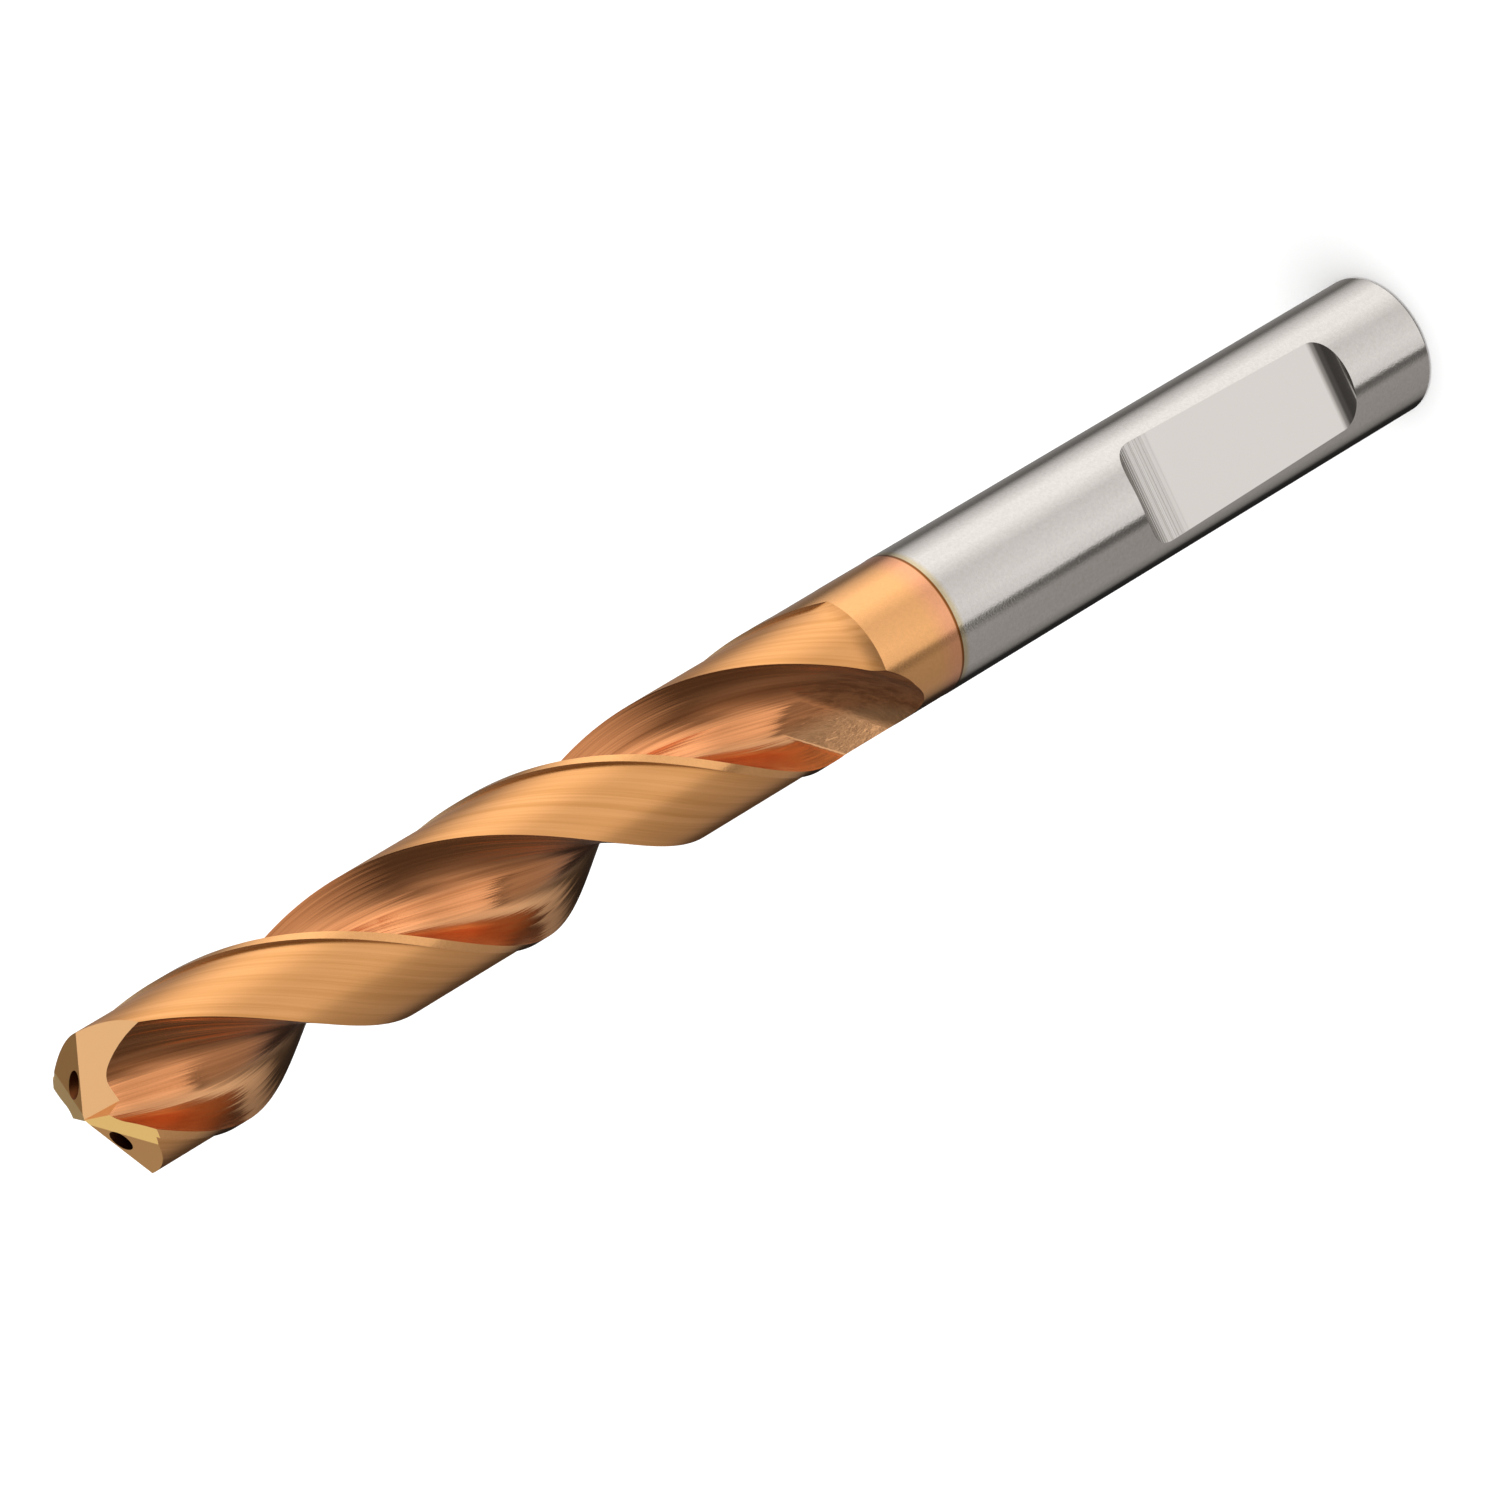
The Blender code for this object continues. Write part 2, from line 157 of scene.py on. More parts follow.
# The body clearance: behind each margin the land is ground back by a fifth of a millimetre, so
# that only the margin rubs in the hole. It follows the flutes and ends a little above the shank,
# where the wheel is drawn out and the clearance runs up to the full size.
FLUTE_LEAD = 0.0391
MARGIN_WIDTH = 0.0005
CLEARANCE_DEPTH = 0.00019
CLEARANCE_END = 0.0411
CLEARANCE_RUNOUT = 0.0011
CLEARANCE_OVERRUN = 0.00002
CLEARANCE_INTO_FLUTE = 0.1
CLEARANCE_WHEEL_RADIUS = DRILL_RADIUS * 1.3
CLEARANCE_STEPS = 24
CLEARANCE_BACK_STEPS = 8
FLUTE_OPENING_DEG = 99.6
HELIX_STEP_DEG = 2.5

twist = 2 * math.pi / FLUTE_LEAD
half_opening = math.radians(FLUTE_OPENING_DEG) / 2
reach = math.sqrt(DRILL_RADIUS**2 - LIP_AHEAD_OF_CENTRE**2)
corner_height = TOTAL_LENGTH - reach * lip_slope + LIP_AHEAD_OF_CENTRE * primary_slope
corner_at_point = math.radians(LIP_DIRECTION_DEG) + math.asin(LIP_AHEAD_OF_CENTRE / DRILL_RADIUS)


def edge_angle(height):
    """Where the first lobe's cutting edge crosses a height."""
    return corner_at_point + twist * (height - corner_height)


def swept_up(name, outline, length):
    """A closed outline carried up the flutes' helix, with its two ends left open."""
    mesh = bpy.data.meshes.new(name)
    count = len(outline)
    mesh.from_pydata(outline, [(i, (i + 1) % count) for i in range(count)], [])
    made = bpy.data.objects.new(name, mesh)
    bpy.context.scene.collection.objects.link(made)
    pick(made)
    sweep = made.modifiers.new("helix", "SCREW")
    sweep.axis = "Z"
    sweep.angle = twist * length
    sweep.screw_offset = length
    sweep.steps = sweep.render_steps = math.ceil(math.degrees(twist * length) / HELIX_STEP_DEG)
    sweep.use_merge_vertices = False
    bpy.ops.object.modifier_apply(modifier=sweep.name)
    return made


def close_ends(piece):
    pick(piece)
    bpy.ops.object.mode_set(mode="EDIT")
    bpy.ops.mesh.select_all(action="SELECT")
    bpy.ops.mesh.fill_holes(sides=0)
    bpy.ops.mesh.select_all(action="SELECT")
    bpy.ops.mesh.normals_make_consistent(inside=False)
    bpy.ops.object.mode_set(mode="OBJECT")


def put(piece, height, angle):
    """Lifts a piece to a height and turns it about the drill's axis, in its mesh."""
    piece.data.transform(Matrix.Translation((0, 0, height)) @ Matrix.Rotation(angle, 4, "Z"))


for turned in BOTH_LIPS:
    margin = MARGIN_WIDTH / DRILL_RADIUS
    span = math.pi - 2 * half_opening - margin + CLEARANCE_INTO_FLUTE
    section = []
    for i in range(CLEARANCE_STEPS + 1):
        back = -margin - span * i / CLEARANCE_STEPS
        section.append(polar(DRILL_RADIUS - CLEARANCE_DEPTH, back))
    for i in range(CLEARANCE_BACK_STEPS + 1):
        back = -margin - span * (1 - i / CLEARANCE_BACK_STEPS)
        section.append(polar(CLEARANCE_WHEEL_RADIUS, back))
    layer = swept_up("clearance_wheel", section, TOTAL_LENGTH + 2 * STOCK - CLEARANCE_END)
    for vertex in layer.data.vertices:
        was = vertex.co.xy.length
        if was < DRILL_RADIUS and vertex.co.z < CLEARANCE_RUNOUT:
            risen = vertex.co.z / CLEARANCE_RUNOUT
            depth = CLEARANCE_DEPTH * risen * (2 - risen) - CLEARANCE_OVERRUN * (1 - risen)
            vertex.co.xy *= (DRILL_RADIUS - depth) / was
    close_ends(layer)
    put(layer, CLEARANCE_END, edge_angle(CLEARANCE_END) + turned)
    wheels.append((layer, "body clearance"))

# The flutes: a large profiled wheel, set across the drill, grinds each one from the point back.
# Where it is drawn out, the floor of the flute runs up along the wheel's own curve to the rod's
# surface. The section has a straight cutting wall, a floor on the core and a straight heel wall.
CORE_RADIUS = 0.00132
CUTTING_WALL_LEAN_DEG = 1.2
HEEL_WALL_LEAN_DEG = 9.7
CUTTING_WALL_FILLET = 0.0013
HEEL_WALL_FILLET = 0.0020
RUNOUT_HEIGHT = 0.0454
WHEEL_RADIUS = 0.04935
WHEEL_SETTING_DEG = 38.3
WHEEL_SHOULDER = 0.004
WHEEL_SHOULDER_DEG = 78.0
WHEEL_CORNER = 0.00025
FLUTE_OVERRUN = DRILL_RADIUS * 0.02
CLEAR_OF_ROD = DRILL_RADIUS * 1.25
FILLET_STEPS = 20
WALL_STEPS = 6
SHOULDER_SHARES = (0.3, 0.6, 1.0)
RUNOUT_STEPS = 40
SEARCH_STEPS = 40
HALVINGS = 24
FOLLOWING_ROUNDS = 8


def fillet(corner, one_way, other_way, radius):
    """Points of the round that joins two straight walls meeting at corner."""
    half = one_way.angle(other_way) / 2
    centre = corner + (one_way + other_way).normalized() * radius / math.sin(half)
    start = corner + one_way * radius / math.tan(half) - centre
    end = corner + other_way * radius / math.tan(half) - centre
    sweep = start.angle(end)
    arc = []
    for i in range(FILLET_STEPS + 1):
        reached = sweep * i / FILLET_STEPS
        spoke = start * math.sin(sweep - reached) + end * math.sin(reached)
        arc.append(centre + spoke / math.sin(sweep))
    return arc


def flute_sides():
    """The flute across the axis, open towards +X, as its cutting side and its heel side, each from
    the floor out to a little way past the drill's surface."""
    across = Vector((0, 1, 0))
    sides = []
    for side, lean in ((-1, CUTTING_WALL_LEAN_DEG), (1, HEEL_WALL_LEAN_DEG)):
        edge = polar(DRILL_RADIUS, side * half_opening)
        out = polar(1, side * (half_opening + math.radians(lean)))
        foot = edge + out * (CORE_RADIUS - edge.x) / out.x
        radius = CUTTING_WALL_FILLET if side < 0 else HEEL_WALL_FILLET
        line = fillet(foot, across * -side, out, radius)
        top = edge + out * FLUTE_OVERRUN
        line += [line[-1].lerp(top, i / WALL_STEPS) for i in range(1, WALL_STEPS + 1)]
        sides.append(line)
    return sides


def up_the_helix(point, rise):
    return Matrix.Rotation(twist * rise, 3, "Z") @ point + Vector((0, 0, rise))


def wheel_touches(point, across, wheel_centre, wheel_axis, near):
    """How far up its helix a point of the outline last touches the wheel: there the groove's
    normal meets the wheel's axis. The rise nearest to the one given is found by halving."""

    def miss(rise):
        spot = up_the_helix(point, rise)
        sideways = Matrix.Rotation(twist * rise, 3, "Z") @ across
        forward = Vector((-twist * spot.y, twist * spot.x, 1))
        return wheel_axis.cross(sideways.cross(forward)).dot(spot - wheel_centre)

    quarter = FLUTE_LEAD / 4
    rises = [quarter * i / SEARCH_STEPS for i in range(-SEARCH_STEPS, SEARCH_STEPS + 1)]
    spans = [span for span in zip(rises, rises[1:]) if miss(span[0]) * miss(span[1]) <= 0]
    if not spans:
        return near
    low, high = min(spans, key=lambda span: abs((span[0] + span[1]) / 2 - near))
    for _ in range(HALVINGS):
        middle = (low + high) / 2
        if miss(low) * miss(middle) <= 0:
            high = middle
        else:
            low = middle
    return (low + high) / 2


def side_touches(line, side, wheel_centre, wheel_axis):
    """Where one side of the flute last touches the wheel, followed from the floor out. The wheel
    only widens away from its rim, so a point where it would fold back leaves it further along."""

    def width(point, rise):
        return side * wheel_axis.dot(up_the_helix(point, rise) - wheel_centre)

    found = []
    near = 0.0
    widest = -WHEEL_RADIUS
    for i, point in enumerate(line):
        across = line[min(i + 1, len(line) - 1)] - line[i - 1] if i else Vector((0, 1, 0))
        near = wheel_touches(point, across, wheel_centre, wheel_axis, near)
        rise = near
        least = widest + WHEEL_CORNER / FILLET_STEPS
        for _ in range(FOLLOWING_ROUNDS):
            rise += max(0.0, least - width(point, rise)) * -side / abs(wheel_axis.z)
        widest = width(point, rise)
        found.append(rise)
    return found


def ground_flute(turned):
    """The space that the wheel sweeps: the flute's section up the helix, and below it the wheel's
    own round. Past the surface the cutting wall goes straight on and the heel has a shoulder."""
    setting = math.radians(WHEEL_SETTING_DEG)
    wheel_centre = Vector((CORE_RADIUS + WHEEL_RADIUS, 0, 0))
    wheel_axis = Vector((0, math.cos(setting), -math.sin(setting)))
    cutting, heel = flute_sides()
    cutting_touches = side_touches(cutting, -1, wheel_centre, wheel_axis)
    heel_touches = side_touches(heel, 1, wheel_centre, wheel_axis)
    cutting.append(cutting[-1] + (cutting[-1] - cutting[-2]).normalized() * DRILL_RADIUS / 3)
    shoulder = polar(WHEEL_SHOULDER, math.radians(WHEEL_SHOULDER_DEG))
    heel_edge = heel[-1]
    heel += [heel_edge + shoulder * share for share in SHOULDER_SHARES]
    far = heel[-1].x + DRILL_RADIUS
    heel.append(Vector((far, heel[-1].y, 0)))
    cutting.append(Vector((far, cutting[-1].y, 0)))
    line = cutting[::-1] + heel
    touches = [cutting_touches[-1]] * 2 + cutting_touches[::-1]
    touches += heel_touches + [heel_touches[-1]] * 4

    length = TOTAL_LENGTH + 2 * STOCK - RUNOUT_HEIGHT
    groove = swept_up("flute_wheel", line, length)
    count = len(line)
    for i, corner in enumerate(groove.data.vertices):
        slide = touches[i % count] * (1 - corner.co.z / length)
        corner.co = up_the_helix(corner.co, slide)
        corner.select = i < count
    for edge in groove.data.edges:
        edge.select = all(i < count for i in edge.vertices)
    pick(groove)
    bpy.ops.object.mode_set(mode="EDIT")
    bpy.ops.mesh.select_mode(type="EDGE")
    swing = math.acos(1 - (CLEAR_OF_ROD - CORE_RADIUS) / WHEEL_RADIUS)
    bpy.ops.mesh.spin(steps=RUNOUT_STEPS, angle=swing, center=wheel_centre, axis=wheel_axis)
    bpy.ops.object.mode_set(mode="OBJECT")
    close_ends(groove)
    put(groove, RUNOUT_HEIGHT, edge_angle(RUNOUT_HEIGHT) + half_opening + turned)
    return groove


for turned in BOTH_LIPS:
    wheels.append((ground_flute(turned), "flute"))

# The coolant channels: two round holes that are left in the rod when it is pressed, and twisted
# with it to the flutes' lead. They open on the secondary relief of each lip and on the shank's end.
CHANNEL_RADIUS = 0.000575
CHANNEL_FROM_AXIS = 0.0018
CHANNEL_BEHIND_EDGE_DEG = 43.4
CHANNEL_SIDES = 40

stretch = math.hypot(1, twist * CHANNEL_FROM_AXIS)
for turned in BOTH_LIPS:
    ring = [polar(CHANNEL_RADIUS, 2 * math.pi * i / CHANNEL_SIDES) for i in range(CHANNEL_SIDES)]
    ring = [Vector((CHANNEL_FROM_AXIS + spot.x, spot.y * stretch, 0)) for spot in ring]
    channel = swept_up("coolant_channel", ring, TOTAL_LENGTH + 2 * STOCK)
    close_ends(channel)
    put(channel, -STOCK, edge_angle(-STOCK) - math.radians(CHANNEL_BEHIND_EDGE_DEG) + turned)
    wheels.append((channel, "channel"))

# The clamping flat: a cup wheel sinks it into the shank, a little deeper towards the point, and
# leaves a round at both ends. A screw in the side of the holder presses on it.
FLAT_START = 0.0070
FLAT_END = 0.0203
FLAT_DEPTH = 0.00118
FLAT_SLOPE_DEG = 1.14
FLAT_REAR_RADIUS = 0.0012
FLAT_FRONT_RADIUS = 0.0020
FLAT_ROUND_STEPS = 24
FLAT_WHEEL_SIDE = SHANK_RADIUS * 1.2


def flat_wheel():
    """The space that the cup wheel takes, drawn from the side and carried across the shank."""
    front = SHANK_RADIUS - FLAT_DEPTH
    rear = front + math.tan(math.radians(FLAT_SLOPE_DEG)) * (FLAT_END - FLAT_START)
    line = []
    for i in range(FLAT_ROUND_STEPS + 1):
        bend = math.pi / 2 * (1 - i / FLAT_ROUND_STEPS)
        depth = rear + FLAT_REAR_RADIUS * (1 - math.cos(bend))
        height = FLAT_START - FLAT_REAR_RADIUS * math.sin(bend)
        line.append(Vector((-FLAT_WHEEL_SIDE, -depth, height)))
    for i in range(FLAT_ROUND_STEPS + 1):
        bend = math.pi / 2 * i / FLAT_ROUND_STEPS
        depth = front + FLAT_FRONT_RADIUS * (1 - math.cos(bend))
        height = FLAT_END + FLAT_FRONT_RADIUS * math.sin(bend)
        line.append(Vector((-FLAT_WHEEL_SIDE, -depth, height)))
    for end in (line[-1], line[0]):
        line.append(Vector((-FLAT_WHEEL_SIDE, -SHANK_RADIUS - STOCK, end.z)))
    mesh = bpy.data.meshes.new("flat_wheel")
    mesh.from_pydata(line, [], [list(range(len(line)))])
    made = bpy.data.objects.new("flat_wheel", mesh)
    bpy.context.scene.collection.objects.link(made)
    pick(made)
    bpy.ops.object.mode_set(mode="EDIT")
    bpy.ops.mesh.select_all(action="SELECT")
    across = (2 * FLAT_WHEEL_SIDE, 0, 0)
    bpy.ops.mesh.extrude_region_move(TRANSFORM_OT_translate={"value": across})
    bpy.ops.mesh.select_all(action="SELECT")
    bpy.ops.mesh.normals_make_consistent(inside=False)
    bpy.ops.object.mode_set(mode="OBJECT")
    return made


wheels.append((flat_wheel(), "clamping flat"))

# The finishes. The whole body above the shank has a thin copper-coloured hard coating, and every
# surface keeps the lines of the wheel that ground it. The shank is bare, so it shows the carbide's
# own warm grey. The lines and the mottling are drawn coarser and deeper than real, so they show.
CARBIDE = "D3CEC9"
MARGIN_COPPER = "F4B476"
LAND_COPPER = "F7B474"
LAND_SHADE = "E4A261"
FLUTE_COPPER = "EEA16B"
FLUTE_SHADE = "C17B4C"
# painted light: a paler straw for the flutes' cutting walls
FLUTE_WALL_PAINTED_LIGHT = "F2B682"
# painted highlight: the coating's paler gold where each lip catches the light
POINT_GOLD_PAINTED_HIGHLIGHT = "ECC276"
POINT_COPPER = "E4A962"
GASH_COPPER = "F2BD85"
# painted light: a pale thread on the step behind each margin
STEP_PAINTED_LIGHT = "DDBB93"
EDGE_BROWN = "8A5220"
EDGE_ROSE = "F4AC80"
EDGE_STRAW = "CDBD9C"
# painted shade for the insides of the coolant channels
CHANNEL_PAINTED_SHADE = "7A4524"
MOTTLE_SHADE = "958E89"
LINE_SPACING = 0.0002
LINE_TURNING = 0.012
WIDE_LINES = 5
WIDE_LINES_DEPTH = 2.5
SHADE_SPACING = 0.0005
SHADE_FROM, SHADE_TO = 0.4, 0.65
WALL_DIRECTION_DEG = 138
WALL_FROM, WALL_TO = 0.0013, 0.0021
GRAIN_SIZE = 0.00012
MOTTLE_SIZE = 0.0002
MOTTLE_FROM, MOTTLE_TO = 0.35, 0.75


def linear(hexa):
    """A colour written in sRGB hex, as linear values."""
    parts = [int(hexa[i : i + 2], 16) / 255 for i in (0, 2, 4)]
    return tuple(c / 12.92 if c <= 0.04045 else ((c + 0.055) / 1.055) ** 2.4 for c in parts) + (1,)


def add(tree, kind, inputs=(), **settings):
    """Adds a node with its settings, and links or sets its inputs."""
    made = tree.nodes.new(kind)
    for name, value in settings.items():
        setattr(made, name, value)
    for key, value in dict(inputs).items():
        if isinstance(value, bpy.types.NodeSocket):
            tree.links.new(value, made.inputs[key])
        else:
            made.inputs[key].default_value = value
    return made


def ground_metal(name, colour, roughness, lines=0.0, grain=0.0, shade=None, wall=None):
    """Metal under a grinding wheel's marks: lines along the flutes' helix, narrow ones and wide
    ones, and a fine grain. Both are given as their depth in metres. The coating can take another
    shade along some of the lines, and a paler one on the cutting walls, far from the axis, which is
    painted light."""
    made = bpy.data.materials.new(name)
    made.use_nodes = True
    tree = made.node_tree
    shader = tree.nodes["Principled BSDF"]
    shader.inputs["Base Color"].default_value = linear(colour)
    shader.inputs["Metallic"].default_value = 1.0
    shader.inputs["Roughness"].default_value = roughness
    place = add(tree, "ShaderNodeTexCoord").outputs["Object"]
    bump = None
    if lines:
        height = add(tree, "ShaderNodeSeparateXYZ", {0: place}).outputs[2]
        back = add(tree, "ShaderNodeMath", {0: height, 1: -twist}, operation="MULTIPLY")
        unwound = add(
            tree,
            "ShaderNodeVectorRotate",
            {"Vector": place, "Angle": back.outputs[0]},
            rotation_type="Z_AXIS",
        )
        along = add(
            tree,
            "ShaderNodeMapping",
            {"Vector": unwound.outputs[0], "Scale": (1, 1, LINE_SPACING / LINE_TURNING)},
        )
        wide = (LINE_SPACING * WIDE_LINES, lines * WIDE_LINES_DEPTH)
        for size, depth in ((LINE_SPACING, lines), wide):
            streaks = add(
                tree,
                "ShaderNodeTexNoise",
                {"Vector": along.outputs[0], "Scale": 1 / size, "Detail": 2, "Roughness": 0.6},
            )
            inputs = {"Height": streaks.outputs[0], "Distance": depth, "Strength": 1.0}
            if bump:
                inputs["Normal"] = bump.outputs[0]
            bump = add(tree, "ShaderNodeBump", inputs)
        if shade:
            streaks = add(
                tree,
                "ShaderNodeTexNoise",
                {
                    "Vector": along.outputs[0],
                    "Scale": 1 / SHADE_SPACING,
                    "Detail": 3,
                    "Roughness": 0.75,
                },
            )
            share = add(
                tree,
                "ShaderNodeMapRange",
                {0: streaks.outputs[0], 1: SHADE_FROM, 2: SHADE_TO},
            )
            tint = add(
                tree,
                "ShaderNodeMix",
                {"Factor": share.outputs[0], 6: linear(colour), 7: linear(shade)},
                data_type="RGBA",
            )
            tree.links.new(tint.outputs[2], shader.inputs["Base Color"])
        # the paler colour on the cutting walls is painted light, which brightens what the flute's
        # walls mirror to each other
        if wall:
            facing = math.radians(WALL_DIRECTION_DEG)
            out = add(
                tree,
                "ShaderNodeVectorMath",
                {0: unwound.outputs[0], 1: (math.cos(facing), math.sin(facing), 0)},
                operation="DOT_PRODUCT",
            )
            far = add(tree, "ShaderNodeMath", {0: out.outputs["Value"]}, operation="ABSOLUTE")
            share = add(
                tree,
                "ShaderNodeMapRange",
                {0: far.outputs[0], 1: WALL_FROM, 2: WALL_TO},
            )
            painted_paler = add(
                tree,
                "ShaderNodeMix",
                {"Factor": share.outputs[0], 6: tint.outputs[2], 7: linear(wall)},
                data_type="RGBA",
            )
            tree.links.new(painted_paler.outputs[2], shader.inputs["Base Color"])
    if grain:
        specks = add(
            tree,
            "ShaderNodeTexNoise",
            {"Vector": place, "Scale": 1 / GRAIN_SIZE, "Detail": 2, "Roughness": 0.7},
        )
        inputs = {"Height": specks.outputs[0], "Distance": grain, "Strength": 1.0}
        if bump:
            inputs["Normal"] = bump.outputs[0]
        bump = add(tree, "ShaderNodeBump", inputs)
    if bump:
        tree.links.new(bump.outputs[0], shader.inputs["Normal"])
    return made


def fade_at_coating_edge(material, mottle, stops):
    """Colours a material by the height along the drill, in metres from the coating's edge, where
    the coating thins out, and mottles it, as the fine grain of the ground surface does."""
    tree = material.node_tree
    place = add(tree, "ShaderNodeTexCoord").outputs["Object"]
    height = add(tree, "ShaderNodeSeparateXYZ", {0: place})
    share = add(
        tree,
        "ShaderNodeMapRange",
        {0: height.outputs[2], 1: SHANK_LENGTH + stops[0][0], 2: SHANK_LENGTH + stops[-1][0]},
    )
    ramp = add(tree, "ShaderNodeValToRGB", {0: share.outputs[0]})
    span = stops[-1][0] - stops[0][0]
    for i, (above, colour) in enumerate(stops):
        where = (above - stops[0][0]) / span
        stop = ramp.color_ramp.elements[i] if i < 2 else ramp.color_ramp.elements.new(where)
        stop.position = where
        stop.color = linear(colour)
    specks = add(
        tree,
        "ShaderNodeTexNoise",
        {"Vector": place, "Scale": 1 / MOTTLE_SIZE, "Detail": 3, "Roughness": 0.75},
    )
    share = add(
        tree,
        "ShaderNodeMapRange",
        {0: specks.outputs[0], 1: MOTTLE_FROM, 2: MOTTLE_TO, 4: mottle},
    )
    mottled = add(
        tree,
        "ShaderNodeMix",
        {"Factor": share.outputs[0], 6: ramp.outputs[0], 7: linear(MOTTLE_SHADE)},
        data_type="RGBA",
        blend_type="MULTIPLY",
    )
    tree.links.new(mottled.outputs[2], tree.nodes["Principled BSDF"].inputs["Base Color"])


# The shank: a warm grey that mirrors the screens as soft bands, with a fine mottle over them, and
# ends in a straw and brown line where the coating begins.
bare = ground_metal("finely ground cemented carbide", CARBIDE, 0.1, grain=4e-6)
fade_at_coating_edge(
    bare,
    0.16,
    [
        (-0.0005, CARBIDE),
        (-0.0002, EDGE_STRAW),
        (-0.00008, EDGE_STRAW),
        (-0.00003, EDGE_BROWN),
        (0, EDGE_BROWN),
    ],
)
# The margins and the ring above the shank: the same bands in copper, a little softer, from a
# brown line through a rosy edge.
on_the = "copper-coloured coating on the "
coated = ground_metal(on_the + "ground margin", MARGIN_COPPER, 0.17, grain=3e-6)
fade_at_coating_edge(
    coated,
    0.12,
    [
        (0, EDGE_BROWN),
        (0.00006, EDGE_BROWN),
        (0.00014, EDGE_ROSE),
        (0.0005, EDGE_ROSE),
        (0.0016, MARGIN_COPPER),
        (0.004, MARGIN_COPPER),
    ],
)
# The land: a satin copper with faint lines and streaks of a deeper shade along the helix.
land = ground_metal(on_the + "land", LAND_COPPER, 0.34, lines=6e-6, shade=LAND_SHADE)
# The flute: a glossier, redder copper under strong lines, so the highlight breaks into streaks. Its
# cutting wall is painted paler, a straw colour, as painted light: what the flute's walls mirror to
# each other then reads paler and less red.
flute = ground_metal(
    on_the + "flute",
    FLUTE_COPPER,
    0.22,
    lines=2.4e-5,
    shade=FLUTE_SHADE,
    wall=FLUTE_WALL_PAINTED_LIGHT,
)
finishes = {
    "shank": bare,
    "margin": coated,
    # a bright gold band along each lip: its gold, paler than the coating on the other facets, is
    # painted highlight
    "primary relief": ground_metal(on_the + "primary relief", POINT_GOLD_PAINTED_HIGHLIGHT, 0.28, lines=1e-6),
    # even copper, so that each facet reads as one flat plane
    "secondary relief": ground_metal(on_the + "secondary relief", POINT_COPPER, 0.28, lines=1e-6),
    # pale copper with fine lines
    "gash": ground_metal(on_the + "gash", GASH_COPPER, 0.3, lines=2e-6),
    "body clearance": land,
    "flute": flute,
    # painted shade: a dull brown, so that the holes look deep
    "channel": ground_metal("coolant channel wall with painted shade", CHANNEL_PAINTED_SHADE, 0.5),
    # one calm sheet of light grey
    "clamping flat": ground_metal("smooth ground flat on carbide", CARBIDE, 0.1),
    # painted light: a pale thread along each margin, paler than the coating round it
    "margin step": ground_metal(on_the + "step behind the margin", STEP_PAINTED_LIGHT, 0.4),
}

# The dwell marks: where the cup wheel comes to rest at the deep end of the clamping flat, it
# leaves a few fine lines across. They are drawn deeper than real ones, so that they show.
DWELL_START = FLAT_END - 0.0013
DWELL_FULL = FLAT_END - 0.00091
DWELL_LINE = 0.00018
DWELL_DEPTH = 0.00005

on_flat = finishes["clamping flat"].node_tree
place = add(on_flat, "ShaderNodeTexCoord").outputs["Object"]
height = add(on_flat, "ShaderNodeSeparateXYZ", {0: place}).outputs[2]
marks = add(
    on_flat,
    "ShaderNodeTexNoise",
    {"W": height, "Scale": 1 / DWELL_LINE, "Detail": 2},
    noise_dimensions="1D",
)
reached = add(on_flat, "ShaderNodeMapRange", {0: height, 1: DWELL_START, 2: DWELL_FULL})
cut = add(
    on_flat,
    "ShaderNodeMath",
    {0: marks.outputs[0], 1: reached.outputs[0]},
    operation="MULTIPLY",
)
raised = add(
    on_flat,
    "ShaderNodeBump",
    {"Height": cut.outputs[0], "Distance": DWELL_DEPTH, "Strength": 1.0},
)
on_flat.links.new(raised.outputs[0], on_flat.nodes["Principled BSDF"].inputs["Normal"])

# Grinding: each wheel takes its material off the rod in turn and leaves its own finish there. The
# narrow step behind each margin, which faces along the surface, then gets a paler colour of its
# own, which is painted light.
SMOOTH_BELOW_DEG = 8
STEP_FACING = 0.5

drill.data.materials.append(finishes["shank"])
drill.data.materials.append(finishes["margin"])
for face in drill.data.polygons:
    face.material_index = 1 if face.center.z > SHANK_LENGTH else 0
for wheel, surface in wheels:
    wheel.data.materials.append(finishes[surface])
    pick(drill)
    ground = drill.modifiers.new("ground", "BOOLEAN")
    ground.operation = "DIFFERENCE"
    ground.solver = "EXACT"
    ground.material_mode = "TRANSFER"
    ground.object = wheel
    bpy.ops.object.modifier_apply(modifier=ground.name)
    bpy.data.objects.remove(wheel)
bpy.ops.object.shade_smooth_by_angle(angle=math.radians(SMOOTH_BELOW_DEG))
drill.data.materials.append(finishes["margin step"])
clearance = drill.data.materials.find(finishes["body clearance"].name)
for face in drill.data.polygons:
    outward = Vector((face.center.x, face.center.y, 0)).normalized()
    if face.material_index == clearance and abs(face.normal.dot(outward)) < STEP_FACING:
        face.material_index = len(drill.data.materials) - 1
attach(drill, "root")
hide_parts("drill")

# The floor: matt white paper, which gives the eye an even white with a soft shadow on it. One
# broad soft light hangs over it, a little to the side. Neither shows in the polished metal.
PAPER_WHITE = "F4F4F4"

bpy.ops.object.select_all(action="DESELECT")
bpy.ops.mesh.primitive_plane_add(size=40)
floor = bpy.context.object
floor.name = "studio_floor"
floor.visible_glossy = False
paper = bpy.data.materials.new("matt white paper")
paper.use_nodes = True
matt = paper.node_tree.nodes["Principled BSDF"]
matt.inputs["Base Color"].default_value = linear(PAPER_WHITE)
matt.inputs["Roughness"].default_value = 0.9
matt.inputs["Specular IOR Level"].default_value = 0.0
floor.data.materials.append(paper)

bpy.ops.object.light_add(type="SUN", rotation=(math.radians(12), math.radians(-14), 0))
above = bpy.context.object
above.name = "soft_light_above"
above.data.angle = math.radians(60)
above.data.energy = 1.3
above.visible_glossy = False

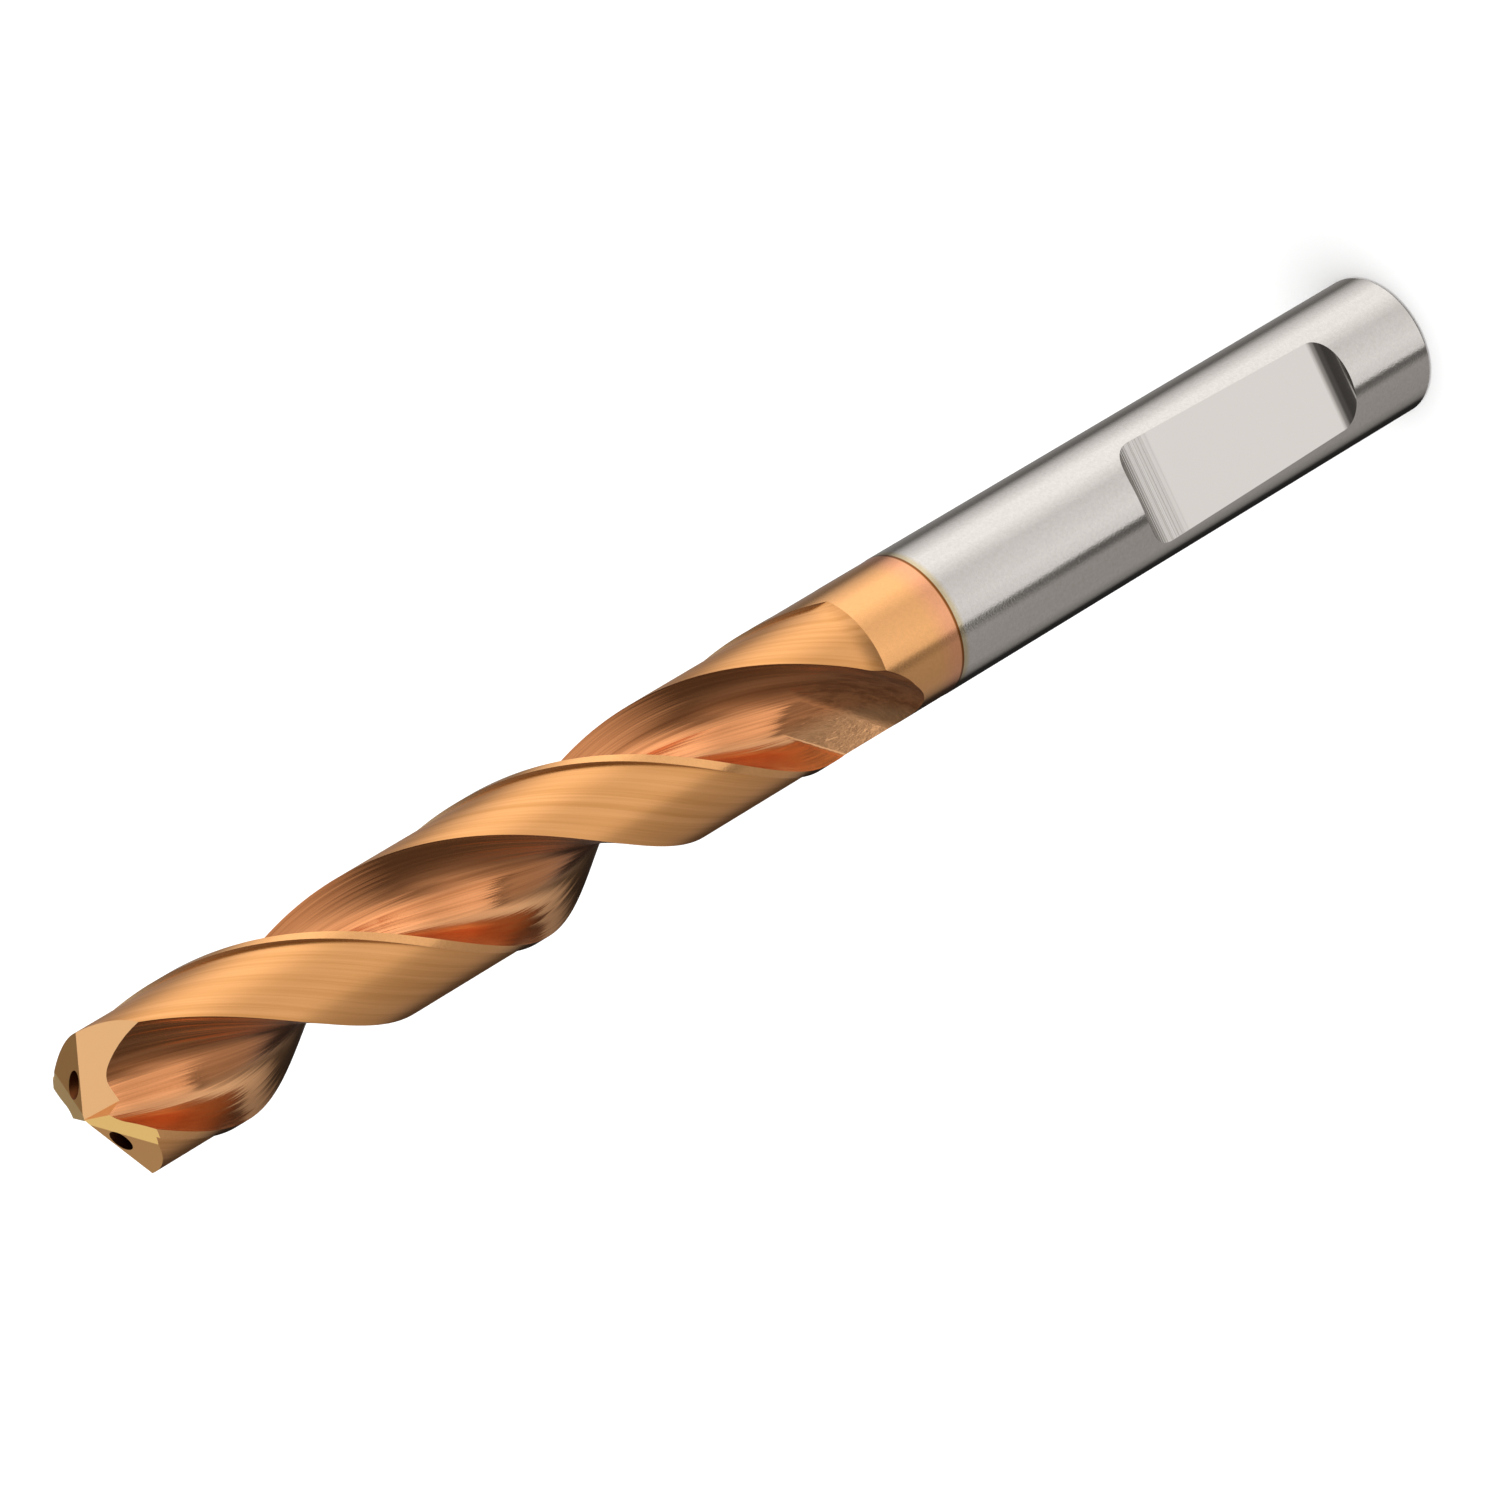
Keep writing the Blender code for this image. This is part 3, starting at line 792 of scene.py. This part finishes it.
# The screens: pale and dark ones stand all round, at eight heights, and the polished metal shows
# them as broad bands. Everything but a mirrored ray sees plain white. Each height, in degrees over
# the level, has its light by bearing from the camera, in degrees, negative to the left of it.
SCREENS = [
    # the floor's own glow, straight down
    (-85, [(0, 0.3)]),
    # low: dark behind the drill on the left, pale on the right
    (-58, [(-175, 0.02), (-108, 0.02), (-90, 0.3), (-40, 0.8), (90, 0.7), (130, 0.5)]),
    # the height that the shank mirrors: a grey wall on the left, a narrow dark gap, and large
    # white screens on the right
    (
        -36,
        [
            (-164, 0.02),
            (-140, 0.02),
            (-128, 0.25),
            (-110, 0.4),
            (-60, 0.4),
            (-50, 0.12),
            (-43, 0.12),
            (-38, 0.95),
            (-15, 1.1),
            (30, 0.9),
            (60, 1.35),
            (84, 1.35),
            (112, 0.75),
            (131, 0.15),
            (160, 0.3),
        ],
    ),
    # just above it, the same without the gap
    (
        -28,
        [
            (-162, 0.02),
            (-140, 0.02),
            (-125, 0.2),
            (-110, 0.35),
            (-60, 0.5),
            (-38, 0.85),
            (30, 0.85),
            (60, 1.3),
            (84, 1.3),
            (112, 0.8),
            (130, 0.4),
            (160, 0.3),
        ],
    ),
    # level: dim on the left, pale on the right
    (
        -8,
        [
            (-140, 0.1),
            (-90, 0.2),
            (-40, 0.45),
            (-30, 0.5),
            (-10, 0.3),
            (5, 0.25),
            (40, 0.9),
            (70, 1.05),
            (110, 0.8),
            (160, 0.3),
        ],
    ),
    # above: dark in front on the left, grey behind
    (
        12,
        [
            (-165, 0.45),
            (-150, 0.4),
            (-125, 0.1),
            (-15, 0.1),
            (30, 0.55),
            (60, 0.8),
            (100, 0.8),
            (157, 0.15),
            (170, 0.35),
        ],
    ),
    # a little higher, the same with less light in front
    (
        22,
        [
            (-160, 0.5),
            (-125, 0.1),
            (-15, 0.1),
            (10, 0.3),
            (60, 0.8),
            (100, 0.8),
            (157, 0.15),
            (175, 0.5),
        ],
    ),
    # high: pale on the right and behind, dark in front on the left
    (38, [(-154, 0.95), (-70, 0.1), (-10, 0.05), (20, 0.6), (54, 0.95), (120, 0.9)]),
]
CAMERA_BEARING_DEG = -80.3
DIM_SCREEN_TINT = (0, 0.05, 0.09)
PLAIN_WHITE = "FFFFFF"

world = bpy.data.worlds.new("screens")
bpy.context.scene.world = world
world.use_nodes = True
sky = world.node_tree
sky.nodes.clear()
direction = add(sky, "ShaderNodeTexCoord").outputs["Generated"]
looking = add(sky, "ShaderNodeSeparateXYZ", {0: direction})
bearing = add(
    sky,
    "ShaderNodeMath",
    {0: looking.outputs[1], 1: looking.outputs[0]},
    operation="ARCTAN2",
)
turn = add(sky, "ShaderNodeMapRange", {0: bearing.outputs[0], 1: -math.pi, 2: math.pi})
elevation = add(sky, "ShaderNodeMath", {0: looking.outputs[2]}, operation="ARCSINE")
light = None
for height, stops in SCREENS:
    ring = add(sky, "ShaderNodeValToRGB", {0: turn.outputs[0]})
    around = sorted((((a + CAMERA_BEARING_DEG + 180) % 360) / 360, v) for a, v in stops)
    first, last = around[0], around[-1]
    seam = last[1] + (first[1] - last[1]) * (1 - last[0]) / (1 - last[0] + first[0])
    around = [(0.0, seam)] + around + [(1.0, seam)]
    for i, (where, value) in enumerate(around):
        stop = ring.color_ramp.elements[i] if i < 2 else ring.color_ramp.elements.new(where)
        stop.position = where
        dim = max(0, 1 - value)
        stop.color = [value * (1 - tint * dim) for tint in DIM_SCREEN_TINT] + [1]
    if light:
        blend = add(
            sky,
            "ShaderNodeMapRange",
            {0: elevation.outputs[0], 1: math.radians(below), 2: math.radians(height)},
            interpolation_type="SMOOTHSTEP",
        )
        mixed = add(
            sky,
            "ShaderNodeMix",
            {"Factor": blend.outputs[0], 6: light, 7: ring.outputs[0]},
            data_type="RGBA",
        )
        light = mixed.outputs[2]
    else:
        light = ring.outputs[0]
    below = height
seen = add(sky, "ShaderNodeLightPath")
white = add(
    sky,
    "ShaderNodeMix",
    {"Factor": seen.outputs["Is Glossy Ray"], 6: linear(PLAIN_WHITE), 7: light},
    data_type="RGBA",
)
glow = add(sky, "ShaderNodeBackground", {"Color": white.outputs[2], "Strength": 1.0})
add(sky, "ShaderNodeOutputWorld", {0: glow.outputs[0]})

# The camera: it stands a little over a third of a metre away, on the side of the clamping flat,
# and looks down on the drill from the point's end. The drill lies across its picture.
bpy.ops.object.camera_add(
    location=(0.050908, -0.297825, 0.248119),
    rotation=[math.radians(angle) for angle in (-38.00119, 45.55344, -127.64423)],
)
camera = bpy.context.object
camera.data.sensor_width = 36
camera.data.lens = 172.956
camera.data.clip_start = 0.01
bpy.context.scene.camera = camera
bpy.context.scene.view_settings.view_transform = "Standard"
